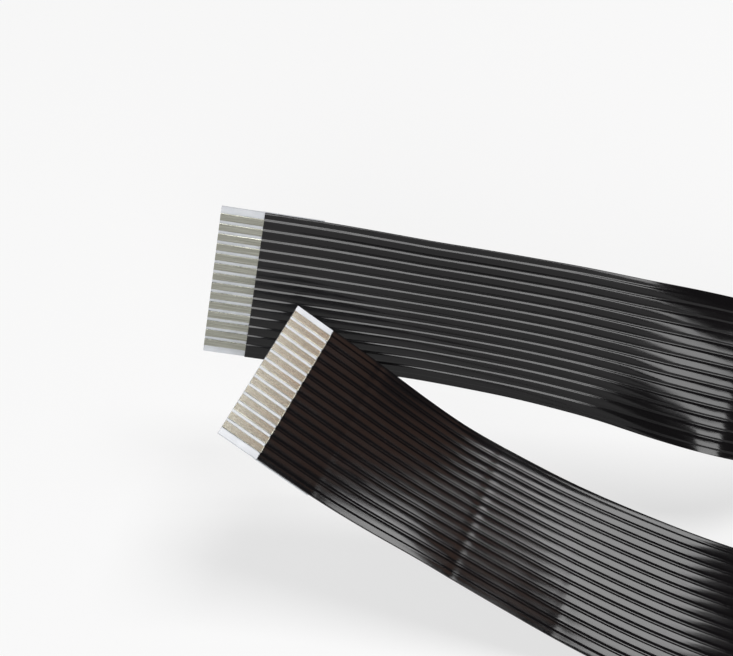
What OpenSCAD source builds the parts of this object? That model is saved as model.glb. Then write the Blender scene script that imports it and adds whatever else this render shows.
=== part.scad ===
// Flat flex cable. Flat tinned copper conductors lie side by side between two
// black films, which stop short at both ends, so that the conductors' last few
// millimetres are bare contacts. A pale stiffener backs each row of contacts.
// The contacts face opposite ways at the two ends. The strip stands on its lower
// edge in one free U-turn, with both ends raised.
//
// A flat strip can bend over its width and twist along its length, but it can't
// bend in its own plane. So its route is a chain of stretches, each with one
// bend and one twist, and every layer is swept along the same frames.

/* [Cable] */
// Length of the cable from tip to tip
cable_l = 250; // [220:5:300]
// Length of the flat stretch at each end, which the stiffener keeps straight
flat_l = 10; // [10:0.5:14]

/* [Conductors] */
// Number of conductors
ways = 14; // [6:1:20]
// Middle of one conductor to the middle of the next
pitch = 1; // [0.9:0.05:1.25]
// Width of one conductor
conductor_w = 0.7; // [0.5:0.05:0.75]
// Thickness of one conductor
conductor_t = 0.1; // [0.06:0.01:0.14]

/* [Films] */
// Thickness of each film over a conductor
film_t = 0.1; // [0.08:0.01:0.14]
// Depth of the groove that each film has between two conductors
groove_d = 0.06; // [0.02:0.01:0.07]
// Film's edge to the middle of the first conductor
edge_margin = 1; // [0.8:0.05:1.5]
// Thickness of the adhesive left between two bonded faces
bond_t = 0.005; // [0.004:0.001:0.01]

/* [Ends] */
// Length of bare conductor at each end
contact_l = 4; // [3:0.5:6]
// Length of each stiffener
stiffener_l = 9.5; // [7.5:0.5:10]
// Thickness of each stiffener
stiffener_t = 0.2; // [0.15:0.01:0.3]
// Length over which a stiffener climbs onto the film
step_run = 0.4; // [0.2:0.1:1]

/* [Hidden] */
// The free route between the two flat ends, from the far end to the near one, in
// stretches of equal length. A line holds one stretch's bend over the cable's
// width and its twist along the length, in degrees.
ROUTE = [
    [2, 4],
    [3.5, -2.5],
    [9, -5.5],
    [-5, -20],
    [-41.5, 13],
    [15, 21.5],
    [55.5, -33.5],
    [20.5, 2],
    [-7, 20],
    [-15.5, 15.5],
    [12.5, 12.5],
    [47.5, -3.5],
    [59.5, -2],
    [43, 10],
    [15.5, 19],
    [0.5, 17.5],
    [-2.5, 10.5],
    [-1, 8],
    [-2, 4],
    [-16.5, 4],
    [-9.5, 7],
    [-4, 3],
    [-8.5, -6.5],
];
// At the far tip, the strip falls by this slope as it leaves, and leans by this
// angle from upright, both in degrees
start_slope = 10;
start_lean = 9;
// Most degrees of bend or twist between two rings of the sweep
ring_turn = 26;

function conductor_name(i) = str("conductor_", i < 10 ? "0" : "", i);

cable_w = (ways - 1) * pitch + 2 * edge_margin;
// Heights are measured from the conductors' middle plane, towards the front
core_h = conductor_t / 2;
land_h = core_h + bond_t + film_t;
groove_h = land_h - groove_d;

// ---- The route's frames: [middle, direction along, direction across] ----

// Turns v by an angle about the unit vector axis
function turned(v, axis, angle) =
    v * cos(angle) + cross(axis, v) * sin(angle) + axis * (axis * v) * (1 - cos(angle));

// The frame at the end of a stretch, which is a piece of a helix
function advanced(f, stretch) =
    let (spin = stretch[1] * f[2] + stretch[2] * f[1], angle = norm(spin))
    angle == 0 ? [f[0] + stretch[0] * f[1], f[1], f[2]] :
    let (
        axis = spin / angle,
        arc = angle * PI / 180,
        rise = axis * (axis * f[1]),
        travel = rise + (f[1] - rise) * sin(angle) / arc + cross(axis, f[1]) * (1 - cos(angle)) / arc
    )
    [f[0] + stretch[0] * travel, turned(f[1], axis, angle), turned(f[2], axis, angle)];

// All stretches as [length, bend, twist], each cut into equal steps of at most
// ring_turn degrees
stretch_l = (cable_l - 2 * flat_l) / len(ROUTE);
function steps(turns) = max(1, ceil(max(abs(turns[0]), abs(turns[1])) / ring_turn));
STEPS = [
    [flat_l, 0, 0],
    for (turns = ROUTE, k = [1 : steps(turns)]) [stretch_l, turns[0], turns[1]] / steps(turns),
    [flat_l, 0, 0]
];

start_along = [cos(start_slope), 0, -sin(start_slope)];
start_across = turned([-sin(start_slope), 0, -cos(start_slope)], start_along, -start_lean);
LOOSE = [
    for (i = 0, f = [[0, 0, 0], start_along, start_across];
         i <= len(STEPS);
         f = i < len(STEPS) ? advanced(f, STEPS[i]) : f, i = i + 1) f
];

// The strip is moved until it stands on z = 0, centred on the origin
EDGES = [
    for (f = LOOSE, u = [-cable_w / 2, cable_w / 2], h = [-groove_h, groove_h])
        f[0] + u * f[2] + h * cross(f[2], f[1])
];
function lowest(k) = min([for (p = EDGES) p[k]]);
function highest(k) = max([for (p = EDGES) p[k]]);
standing = [-(lowest(0) + highest(0)) / 2, -(lowest(1) + highest(1)) / 2, -lowest(2)];
FRAMES = [for (f = LOOSE) [f[0] + standing, f[1], f[2]]];
last = len(FRAMES) - 1;

// The films' frames: the same, but short of both tips by the bare contacts
function slid(f, distance) = [f[0] + distance * f[1], f[1], f[2]];
FILM_FRAMES = [
    for (i = [0 : last])
        i == 0 ? slid(FRAMES[0], contact_l) : i == last ? slid(FRAMES[last], -contact_l) : FRAMES[i]
];

// ---- Sections: [across, height] points ----

function conductor_u(i) = (i - (ways + 1) / 2) * pitch;

// The conductor's rectangle
function conductor_section(i) =
    let (u = conductor_u(i), w = conductor_w / 2)
    [[u - w, -core_h], [u + w, -core_h], [u + w, core_h], [u - w, core_h]];

// An outer face: a land over each conductor, and a groove on both sides of it
function outer_line() = concat(
    [[-cable_w / 2, groove_h]],
    [for (i = [1 : ways]) each [
        [conductor_u(i) - pitch / 2, groove_h],
        [conductor_u(i) - conductor_w / 2, land_h],
        [conductor_u(i) + conductor_w / 2, land_h]
    ]],
    [[conductor_u(ways) + pitch / 2, groove_h], [cable_w / 2, groove_h]]
);

// The front film's inner face: a channel over each conductor
function channel_line() =
    let (w = conductor_w / 2 + bond_t)
    concat(
        [[-cable_w / 2, -core_h]],
        [for (i = [1 : ways]) each [
            [conductor_u(i) - w, -core_h],
            [conductor_u(i) - w, core_h + bond_t],
            [conductor_u(i) + w, core_h + bond_t],
            [conductor_u(i) + w, -core_h]
        ]],
        [[cable_w / 2, -core_h]]
    );

// The back film's inner face: flat, with a point at each conductor's sides
function bed_line() = concat(
    [[-cable_w / 2, -core_h - bond_t]],
    [for (i = [1 : ways], side = [-1, 1]) [conductor_u(i) + side * conductor_w / 2, -core_h - bond_t]],
    [[cable_w / 2, -core_h - bond_t]]
);

function reversed(line) = [for (i = [len(line) - 1 : -1 : 0]) line[i]];
function flipped(line) = [for (p = line) [p[0], -p[1]]];

front_section = concat(channel_line(), reversed(outer_line()));
back_section = concat(flipped(outer_line()), reversed(bed_line()));

// ---- Sweeping ----

// Sweeps a section along the frames. Each side is two triangles, and the cut
// between them always leaves from the point that is nearer the upper edge or
// the back, so that the faces of neighbouring layers stay parallel.
module swept(section, frames) {
    n = len(section);
    rings = len(frames);
    points = [
        for (f = frames, p = section)
            f[0] + p[0] * f[2] + p[1] * cross(f[2], f[1])
    ];
    sides = [
        for (r = [0 : rings - 2], i = [0 : n - 1])
            let (
                j = (i + 1) % n,
                a = r * n + i, b = r * n + j, c = b + n, d = a + n,
                first = section[i][0] < section[j][0]
                    || (section[i][0] == section[j][0] && section[i][1] < section[j][1])
            )
            each (first ? [[a, b, c], [a, c, d]] : [[a, b, d], [b, c, d]])
    ];
    start_cap = [for (i = [n - 1 : -1 : 0]) i];
    end_cap = [for (i = [0 : n - 1]) (rings - 1) * n + i];
    polyhedron(points, concat(sides, [start_cap, end_cap]), convexity = 10);
}

// ---- Sub-parts ----

// Black film on the front: it is grooved outside, and wraps the conductors inside
module front_film() {
    color("#1b1b1e") swept(front_section, FILM_FRAMES);
}

// Black film on the back, bonded to the conductors and to the front film
module back_film() {
    color("#1b1b1e") swept(back_section, FILM_FRAMES);
}

// Flat tinned copper conductor, bare for its last few millimetres at each end
module conductor(i) {
    color("#b9b4a8") swept(conductor_section(i), FRAMES);
}

// Places a stiffener: x runs inwards from the tip, and z towards the backed side
module at_tip(f, inwards) {
    x = inwards * f[1];
    z = -inwards * cross(f[2], f[1]);
    multmatrix([
        [x[0], f[2][0], z[0], f[0][0]],
        [x[1], f[2][1], z[1], f[0][1]],
        [x[2], f[2][2], z[2], f[0][2]],
        [0, 0, 0, 1]
    ])
        children();
}

// Pale tape on the back of the bare contacts, which laps onto the film
module stiffener() {
    bare_h = core_h + bond_t;
    film_h = land_h + bond_t;
    film_x = contact_l - bond_t;
    color("#dde2e6")
        rotate([90, 0, 0])
            linear_extrude(cable_w, center = true)
                polygon([
                    [0, bare_h], [film_x, bare_h], [film_x, film_h], [stiffener_l, film_h],
                    [stiffener_l, film_h + stiffener_t], [film_x, film_h + stiffener_t],
                    [film_x - step_run, bare_h + stiffener_t], [0, bare_h + stiffener_t]
                ]);
}

module far_stiffener() {
    at_tip(FRAMES[0], 1) stiffener();
}

module near_stiffener() {
    at_tip(FRAMES[last], -1) stiffener();
}

front_film();
back_film();
far_stiffener();
near_stiffener();
for (i = [1 : ways])
    conductor(i);
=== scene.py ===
import math

import bpy
import numpy as np
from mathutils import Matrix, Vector


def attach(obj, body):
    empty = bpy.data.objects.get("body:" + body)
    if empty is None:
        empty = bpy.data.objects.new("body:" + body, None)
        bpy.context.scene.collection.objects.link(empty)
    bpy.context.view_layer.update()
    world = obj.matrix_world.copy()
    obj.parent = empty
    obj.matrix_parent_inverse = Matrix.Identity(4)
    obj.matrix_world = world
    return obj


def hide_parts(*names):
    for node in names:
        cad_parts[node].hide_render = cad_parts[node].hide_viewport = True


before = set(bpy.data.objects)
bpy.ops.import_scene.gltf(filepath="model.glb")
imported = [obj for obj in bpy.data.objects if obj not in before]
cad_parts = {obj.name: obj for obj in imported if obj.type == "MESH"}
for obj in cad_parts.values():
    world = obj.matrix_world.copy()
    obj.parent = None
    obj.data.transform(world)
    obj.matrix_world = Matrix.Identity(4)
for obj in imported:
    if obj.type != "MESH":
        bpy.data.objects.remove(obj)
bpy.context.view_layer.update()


# ---- Conductors ----
# Fourteen flat copper strips, rolled from round wire and tinned, laid side by
# side at a pitch of 1 mm. The films hold them, and their last 4 mm are bare
# at both ends.
cable_length = 0.250
cable_width = 0.015
ways = 14
pitch = 0.001
conductor_width = 0.0007
conductor_thickness = 0.0001
conductor_rounding = 0.00002
conductor_step = 0.00125
conductor_crease_step = 0.0003

# The route that every layer follows: between two flat ends, each stretch bends
# over the width and twists along the length by these degrees.
flat_end = 0.010
route = [
    (2, 4), (3.5, -2.5), (9, -5.5), (-5, -20), (-41.5, 13), (15, 21.5),
    (55.5, -33.5), (20.5, 2), (-7, 20), (-15.5, 15.5), (12.5, 12.5),
    (47.5, -3.5), (59.5, -2), (43, 10), (15.5, 19), (0.5, 17.5),
    (-2.5, 10.5), (-1, 8), (-2, 4), (-16.5, 4), (-9.5, 7), (-4, 3),
    (-8.5, -6.5),
]
stretch = (cable_length - 2 * flat_end) / len(route)
start_slope = 10
start_lean = 9

# The solids' own rings, which set where they stand: the most that one turns on
# from the last, in degrees, and the height of the film's grooves.
ring_turn = 26
groove_height = 0.000095


def turned(vector, axis, angle):
    """The vector turned about a unit axis by an angle in radians."""
    return (
        vector * math.cos(angle)
        + np.cross(axis, vector) * math.sin(angle)
        + axis * (axis @ vector) * (1 - math.cos(angle))
    )


def carried_on(place, length, bend, twist):
    """The strip's middle, its direction along and its direction across, one
    piece of a helix further on. Angles are in radians."""
    middle, along, across = place
    spin = bend * across + twist * along
    angle = np.linalg.norm(spin)
    if angle < 1e-9:
        return middle + length * along, along, across
    axis = spin / angle
    rise = axis * (axis @ along)
    travel = (
        rise
        + (along - rise) * math.sin(angle) / angle
        + np.cross(axis, along) * (1 - math.cos(angle)) / angle
    )
    return (
        middle + length * travel,
        turned(along, axis, angle),
        turned(across, axis, angle),
    )


def first_place():
    """The far tip's place, before the strip is moved to stand on the floor."""
    slope, lean = math.radians(start_slope), math.radians(start_lean)
    along = np.array([math.cos(slope), 0, -math.sin(slope)])
    down = np.array([-math.sin(slope), 0, -math.cos(slope)])
    return np.zeros(3), along, turned(down, along, -lean)


def standing_shift():
    """How far the loose strip moves to stand on the floor, centred, as the
    solids do."""
    places = [first_place()]
    places.append(carried_on(places[-1], flat_end, 0, 0))
    for bend, twist in route:
        steps = max(1, math.ceil(max(abs(bend), abs(twist)) / ring_turn))
        for _ in range(steps):
            turns = math.radians(bend / steps), math.radians(twist / steps)
            places.append(carried_on(places[-1], stretch / steps, *turns))
    places.append(carried_on(places[-1], flat_end, 0, 0))
    edges = np.array([
        middle + u * across + h * np.cross(across, along)
        for middle, along, across in places
        for u in (-cable_width / 2, cable_width / 2)
        for h in (-groove_height, groove_height)
    ])
    low, high = edges.min(0), edges.max(0)
    return -np.array([(low[0] + high[0]) / 2, (low[1] + high[1]) / 2, low[2]])


fine_step = 0.00025
ease = 0.0014
ease_tails = 3


def eased_places():
    """Places along the strip every fine step. Each bend is eased into the next,
    as in springy film, by a bell curve over the places that runs on straight
    past both tips."""
    places = [first_place()]
    for k in range(round(cable_length / fine_step)):
        i = math.floor(((k + 0.5) * fine_step - flat_end) / stretch)
        bend, twist = route[i] if 0 <= i < len(route) else (0, 0)
        turns = (
            math.radians(bend) * fine_step / stretch,
            math.radians(twist) * fine_step / stretch,
        )
        places.append(carried_on(places[-1], fine_step, *turns))
    reach = round(ease_tails * ease / fine_step)
    tip, along, across = places[0]
    before = [(tip - k * fine_step * along, along, across) for k in range(reach, 0, -1)]
    tip, along, across = places[-1]
    after = [(tip + k * fine_step * along, along, across) for k in range(1, reach + 1)]
    padded = before + places + after
    offsets = (np.arange(2 * reach + 1) - reach) * fine_step
    weights = np.exp(-((offsets / ease) ** 2) / 2)
    weights /= weights.sum()
    middles, acrosses = (
        np.array([
            np.convolve(line, weights, "valid")
            for line in np.array([place[part] for place in padded]).T
        ]).T
        for part in (0, 2)
    )
    alongs = np.gradient(middles, axis=0)
    alongs /= np.linalg.norm(alongs, axis=1)[:, None]
    acrosses -= alongs * (alongs * acrosses).sum(1)[:, None]
    acrosses /= np.linalg.norm(acrosses, axis=1)[:, None]
    return list(zip(middles + standing_shift(), alongs, acrosses))


fine_places = eased_places()

# Faint creases across the near leg, and last the mark of the stiffener's end:
# distance along the strip, height and width, in millimetres.
waves = (
    (216.2, 0.012, 0.5),
    (218.3, 0.008, 0.4),
    (226.4, 0.020, 0.4),
    (240.4, 0.014, 0.35),
)
# Where rings stand closer together to hold them, and how far to each side.
creases = (0.2160, 0.2267, 0.2404)
crease_reach = 0.0016


def wavy_height(distance):
    """How far the strip stands out of its smooth run."""
    mm = distance * 1000
    return sum(
        height * math.exp(-(((mm - centre) / width) ** 2))
        for centre, height, width in waves
    ) / 1000


def place_at(distance):
    """The strip's middle, its direction along and its direction across, this
    far from the far tip."""
    steps = min(max(distance / fine_step, 0), len(fine_places) - 1)
    low = min(int(steps), len(fine_places) - 2)
    part = steps - low
    a, b = fine_places[low], fine_places[low + 1]
    middle, along, across = (a[k] * (1 - part) + b[k] * part for k in range(3))
    along, across = along / np.linalg.norm(along), across / np.linalg.norm(across)
    return middle + np.cross(across, along) * wavy_height(distance), along, across


def stops_between(start, end, step, crease_step):
    """Distances from start to end, closer together near the creases."""
    stops = list(np.linspace(start, end, max(2, round((end - start) / step) + 1)))
    for centre in creases:
        if start < centre < end:
            low, high = max(start, centre - crease_reach), min(end, centre + crease_reach)
            stops += list(np.arange(low, high, crease_step))
    stops = sorted(stops)
    least_gap = crease_step * 0.6
    kept = [stops[0]]
    for stop in stops[1:]:
        if stop - kept[-1] > least_gap:
            kept.append(stop)
    kept[-1] = end
    return kept


sharp_angle = 30


def swept(name, section, stops):
    """A solid with this closed section, as points of (across, height), swept
    along the strip through the stops. Its UVs are distance along and across."""
    rings = []
    for stop in stops:
        middle, along, across = place_at(stop)
        front = np.cross(across, along)
        rings.append([middle + u * across + h * front for u, h in section])
    vertices = np.array(rings).reshape(-1, 3)
    n = len(section)
    faces = [
        (r * n + i, r * n + (i + 1) % n, (r + 1) * n + (i + 1) % n, (r + 1) * n + i)
        for r in range(len(stops) - 1)
        for i in range(n)
    ]
    faces += [tuple(range(n))[::-1], tuple((len(stops) - 1) * n + i for i in range(n))]
    mesh = bpy.data.meshes.new(name)
    mesh.from_pydata([tuple(v) for v in vertices], [], faces)
    layer = mesh.uv_layers.new(name="UVMap")
    ring_of = np.repeat(np.array(stops), n)
    across_of = np.tile(np.array([u for u, _ in section]), len(stops))
    index = np.zeros(len(mesh.loops), int)
    mesh.loops.foreach_get("vertex_index", index)
    uv = np.stack([ring_of[index], across_of[index]], 1)
    layer.data.foreach_set("uv", uv.ravel())
    mesh.polygons.foreach_set("use_smooth", [True] * len(mesh.polygons))
    mesh.set_sharp_from_angle(angle=math.radians(sharp_angle))
    mesh.update()
    made = bpy.data.objects.new(name, mesh)
    bpy.context.scene.collection.objects.link(made)
    return made


def way_centre(way):
    """A conductor's middle across the strip. Ways are counted from 1."""
    return (way - (ways + 1) / 2) * pitch


def conductor_section(centre):
    """A conductor's section, with its four corners cut."""
    half, thick, r = conductor_width / 2, conductor_thickness / 2, conductor_rounding
    return [
        (centre - half, -thick + r), (centre - half + r, -thick),
        (centre + half - r, -thick), (centre + half, -thick + r),
        (centre + half, thick - r), (centre + half - r, thick),
        (centre - half + r, thick), (centre - half, thick - r),
    ]


def node(tree, kind, inputs={}, **settings):
    """A new shader node, with these values set on its own sockets."""
    made = tree.nodes.new(kind)
    for key, value in settings.items():
        setattr(made, key, value)
    for key, value in inputs.items():
        made.inputs[key].default_value = value
    return made


def colour_ramp(tree, *stops):
    """A ramp between two stops, each a position and a colour."""
    made = node(tree, "ShaderNodeValToRGB")
    for element, (position, colour) in zip(made.color_ramp.elements, stops):
        element.position = position
        element.color = colour
    return made


def plain_material(name, **sockets):
    """A material whose shader has these values set on its own sockets."""
    made = bpy.data.materials.new(name)
    made.use_nodes = True
    shader = made.node_tree.nodes["Principled BSDF"]
    for key, value in sockets.items():
        shader.inputs[key.replace("_", " ")].default_value = value
    return made, made.node_tree, shader


tin, tree, shader = plain_material(
    "tinned_copper", Metallic=1.0, Base_Color=(0.60, 0.59, 0.54, 1), Roughness=0.3
)
run = node(tree, "ShaderNodeUVMap", uv_map="UVMap")
drawn = node(tree, "ShaderNodeMapping", {"Scale": (160, 14000, 1)})
streaks = node(
    tree, "ShaderNodeTexNoise", {"Scale": 1.0, "Detail": 5.0, "Roughness": 0.65}
)
tone = colour_ramp(
    tree, (0.30, (0.14, 0.14, 0.115, 1)), (0.72, (0.46, 0.46, 0.40, 1))
)
dull = node(
    tree,
    "ShaderNodeMapRange",
    {"From Min": 0.3, "From Max": 0.7, "To Min": 0.28, "To Max": 0.15},
)
scored = node(tree, "ShaderNodeBump", {"Strength": 0.25, "Distance": 0.00002})
tree.links.new(run.outputs["UV"], drawn.inputs["Vector"])
tree.links.new(drawn.outputs["Vector"], streaks.inputs["Vector"])
tree.links.new(streaks.outputs["Fac"], tone.inputs["Fac"])
tree.links.new(streaks.outputs["Fac"], dull.inputs["Value"])
tree.links.new(streaks.outputs["Fac"], scored.inputs["Height"])
tree.links.new(tone.outputs["Color"], shader.inputs["Base Color"])
tree.links.new(dull.outputs["Result"], shader.inputs["Roughness"])
tree.links.new(scored.outputs["Normal"], shader.inputs["Normal"])

conductor_stops = stops_between(0, cable_length, conductor_step, conductor_crease_step)
for way in range(1, ways + 1):
    section = conductor_section(way_centre(way))
    strip = swept(f"tinned_conductor_{way:02d}", section, conductor_stops)
    strip.data.materials.append(tin)
    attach(strip, "root")
    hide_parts(f"conductor_{way:02d}")


# ---- Back film ----
# A black polyester film with a layer of hot-melt adhesive. Hot rollers press it
# flat onto the conductors and down between them, so its face has a rib over
# each conductor.
film_height = 0.000155
film_bare = 0.004
film_step = 0.0011
film_crease_step = 0.00025
bond = 0.000005
groove_drop = 0.000064
rib_flat = 0.24
outer_flat = 0.0001
slit_across = 0.00003
slit_down = 0.00001


def rib_points():
    """One rib's points from groove to groove, as (part of a pitch from the rib's
    middle, part of the groove's depth). The next rib starts with the last
    groove's middle."""
    marks = [-0.5, -0.455, -0.415, -0.375, -0.335, -0.29, -rib_flat, 0.0]
    marks += [-m for m in marks[1:-1]][::-1]
    fall = [
        (1 - math.cos(math.pi * max(0, (abs(m) - rib_flat) / (0.5 - rib_flat)))) / 2
        for m in marks
    ]
    return list(zip(marks, fall))


def ribbed_line():
    """The film's ribbed face from one edge to the other, as (across, height)."""
    edge = cable_width / 2
    first = -(ways / 2) * pitch
    low = film_height - groove_drop
    line = [(-edge, low - slit_down), (-edge + slit_across, low)]
    line += [(first - outer_flat, low)]
    for way in range(ways):
        middle = first + (way + 0.5) * pitch
        line += [
            (middle + mark * pitch, film_height - fall * groove_drop)
            for mark, fall in rib_points()
        ]
    line += [(-first, low), (-first + outer_flat, low)]
    line += [(edge - slit_across, low), (edge, low - slit_down)]
    return line


core = conductor_thickness / 2
film_stops = stops_between(
    film_bare, cable_length - film_bare, film_step, film_crease_step
)
back_line = [(u, -h) for u, h in ribbed_line()]
bed_line = [(cable_width / 2, -core - bond), (-cable_width / 2, -core - bond)]
back_film = swept("back_film_dressed", back_line + bed_line, film_stops)

black, tree, shader = plain_material(
    "black_film", Base_Color=(0.0035, 0.003, 0.0035, 1), Roughness=0.14, IOR=1.36
)
run = node(tree, "ShaderNodeUVMap", uv_map="UVMap")
spread = node(tree, "ShaderNodeMapping", {"Scale": (260, 1500, 1)})
mottle = node(tree, "ShaderNodeTexNoise", {"Scale": 1.0, "Detail": 4.0})
gloss = node(
    tree,
    "ShaderNodeMapRange",
    {"From Min": 0.3, "From Max": 0.7, "To Min": 0.10, "To Max": 0.19},
)
dimples = node(tree, "ShaderNodeBump", {"Strength": 0.35, "Distance": 0.00003})
tree.links.new(run.outputs["UV"], spread.inputs["Vector"])
tree.links.new(spread.outputs["Vector"], mottle.inputs["Vector"])
tree.links.new(mottle.outputs["Fac"], gloss.inputs["Value"])
tree.links.new(mottle.outputs["Fac"], dimples.inputs["Height"])
tree.links.new(gloss.outputs["Result"], shader.inputs["Roughness"])
tree.links.new(dimples.outputs["Normal"], shader.inputs["Normal"])

back_film.data.materials.append(black)
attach(back_film, "root")
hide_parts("back_film")


# ---- Stiffeners ----
# A pale polyester tape at each end, bonded behind the bare contacts and up onto
# the film, so that the end can be pushed into a socket.
pale, tree, shader = plain_material(
    "white_tape", Base_Color=(0.58, 0.60, 0.63, 1), Roughness=0.35, IOR=1.58
)
spot = node(tree, "ShaderNodeTexCoord")
cloud = node(tree, "ShaderNodeTexNoise", {"Scale": 900.0, "Detail": 4.0})
tint = colour_ramp(tree, (0.3, (0.53, 0.55, 0.58, 1)), (0.7, (0.62, 0.64, 0.67, 1)))
grain = node(tree, "ShaderNodeBump", {"Strength": 0.2, "Distance": 0.00002})
tree.links.new(spot.outputs["Object"], cloud.inputs["Vector"])
tree.links.new(cloud.outputs["Fac"], tint.inputs["Fac"])
tree.links.new(cloud.outputs["Fac"], grain.inputs["Height"])
tree.links.new(tint.outputs["Color"], shader.inputs["Base Color"])
tree.links.new(grain.outputs["Normal"], shader.inputs["Normal"])

stiffeners = [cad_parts["far_stiffener"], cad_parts["near_stiffener"]]
for stiffener in stiffeners:
    stiffener.data.materials.clear()
    stiffener.data.materials.append(pale)


# ---- Front film ----
# The second black film, pressed on in the same pass. It follows the conductors'
# upper faces, and its edges are slit level with the back film's.
channel_line = []
for way in range(ways, 0, -1):
    centre = way_centre(way)
    half = conductor_width / 2 + bond
    channel_line += [
        (centre + half, -core), (centre + half, core + bond),
        (centre - half, core + bond), (centre - half, -core),
    ]
edge = cable_width / 2
front_section = ribbed_line() + [(edge, -core)] + channel_line + [(-edge, -core)]
front_film = swept("front_film_dressed", front_section[::-1], film_stops)
front_film.data.materials.append(black)
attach(front_film, "root")
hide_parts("front_film")


# ---- Floor, light and camera ----
# A pale sheet under the cable, one large soft lamp overhead, a lower one at the
# front and a dim warm one to the right.
floor_reach = 4.0
floor_white = 0.7
floor_mesh = bpy.data.meshes.new("floor")
floor_mesh.from_pydata(
    [
        (-floor_reach, -floor_reach, 0), (floor_reach, -floor_reach, 0),
        (floor_reach, floor_reach, 0), (-floor_reach, floor_reach, 0),
    ],
    [],
    [(0, 1, 2, 3)],
)
floor = bpy.data.objects.new("floor", floor_mesh)
bpy.context.scene.collection.objects.link(floor)
paper, tree, shader = plain_material(
    "pale_floor", Base_Color=(0.86, 0.86, 0.86, 1), Roughness=0.9
)
ray = node(tree, "ShaderNodeLightPath")
camera_or_glossy = node(tree, "ShaderNodeMath", operation="MAXIMUM")
any_seen = node(tree, "ShaderNodeMath", operation="MAXIMUM")
share = node(tree, "ShaderNodeMath", {1: floor_white}, operation="MULTIPLY")
white = node(tree, "ShaderNodeEmission", {"Color": (0.99, 0.99, 0.99, 1)})
blend = node(tree, "ShaderNodeMixShader")
out = tree.nodes["Material Output"]
tree.links.new(ray.outputs["Is Camera Ray"], camera_or_glossy.inputs[0])
tree.links.new(ray.outputs["Is Glossy Ray"], camera_or_glossy.inputs[1])
tree.links.new(camera_or_glossy.outputs[0], any_seen.inputs[0])
tree.links.new(ray.outputs["Is Transmission Ray"], any_seen.inputs[1])
tree.links.new(any_seen.outputs[0], share.inputs[0])
tree.links.new(share.outputs[0], blend.inputs["Fac"])
tree.links.new(shader.outputs["BSDF"], blend.inputs[1])
tree.links.new(white.outputs["Emission"], blend.inputs[2])
tree.links.new(blend.outputs["Shader"], out.inputs["Surface"])
floor_mesh.materials.append(paper)

lamp_distance = 2.0


def soft_lamp(name, azimuth, elevation, width, height, radiance, colour=(1, 1, 1)):
    """A lamp that faces the cable from this direction. Azimuth 0 is -Y and 90 is
    +X, in degrees."""
    a, e = math.radians(azimuth), math.radians(elevation)
    towards = Vector((math.sin(a) * math.cos(e), -math.cos(a) * math.cos(e), math.sin(e)))
    lamp = bpy.data.lights.new(name, "AREA")
    lamp.shape = "RECTANGLE"
    lamp.size, lamp.size_y = width, height
    lamp.energy = radiance * math.pi * width * height
    lamp.color = colour
    held = bpy.data.objects.new(name, lamp)
    held.location = towards * lamp_distance
    held.rotation_euler = towards.to_track_quat("Z", "Y").to_euler()
    bpy.context.scene.collection.objects.link(held)


soft_lamp(
    "overhead_lamp", azimuth=85, elevation=69.5, width=1.0, height=1.0, radiance=11.0
)
soft_lamp("front_lamp", azimuth=2, elevation=17, width=1.0, height=0.85, radiance=9.0)
soft_lamp(
    "warm_lamp",
    azimuth=96,
    elevation=46,
    width=0.8,
    height=0.35,
    radiance=0.75,
    colour=(1.0, 0.52, 0.33),
)

world = bpy.data.worlds.new("room")
world.use_nodes = True
room = world.node_tree.nodes["Background"]
room.inputs["Color"].default_value = (1, 1, 1, 1)
room.inputs["Strength"].default_value = 0.08
bpy.context.scene.world = world

view_width = 733
view_focal = 1200
look_down = 35.39
camera = bpy.data.cameras.new("camera")
camera.sensor_width = 36
camera.lens = camera.sensor_width * view_focal / view_width
camera.clip_start = 0.002
eye = bpy.data.objects.new("camera", camera)
eye.location = (-0.03840, -0.07094, 0.08583)
eye.rotation_euler = (math.radians(90 - look_down), 0, 0)
bpy.context.scene.collection.objects.link(eye)
bpy.context.scene.camera = eye
bpy.context.scene.view_settings.view_transform = "Standard"
